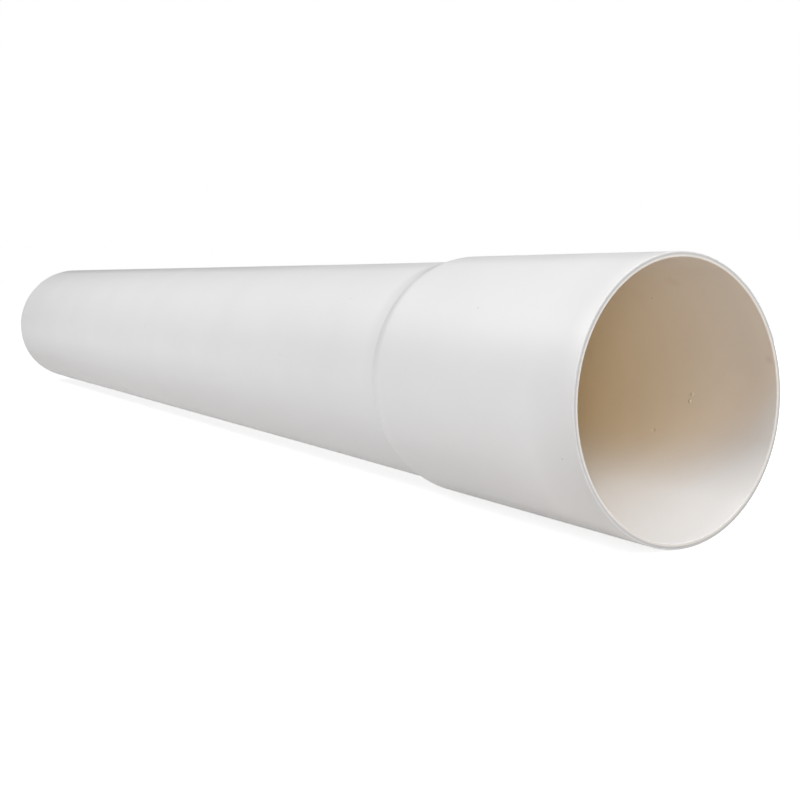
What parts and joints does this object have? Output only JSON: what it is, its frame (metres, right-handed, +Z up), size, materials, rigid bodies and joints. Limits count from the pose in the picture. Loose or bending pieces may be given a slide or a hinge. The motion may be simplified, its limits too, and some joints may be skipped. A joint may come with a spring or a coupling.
{
  "type": "pvc drain pipe",
  "caption": "Straight white PVC drain pipe with a plain belled socket at one end and a bevelled spigot at the other.",
  "frame": {"origin": "on the floor that the pipe lies on, under its axis, at the middle of its length", "axes": "+X along the axis, out of the socket mouth; +Z up"},
  "size_m": [1.205, 0.167, 0.1672],
  "materials": {
    "pipe": "satin white rigid PVC"
  },
  "bodies": {
    "root": {"pipe": "pipe"}
  },
  "joints": []
}
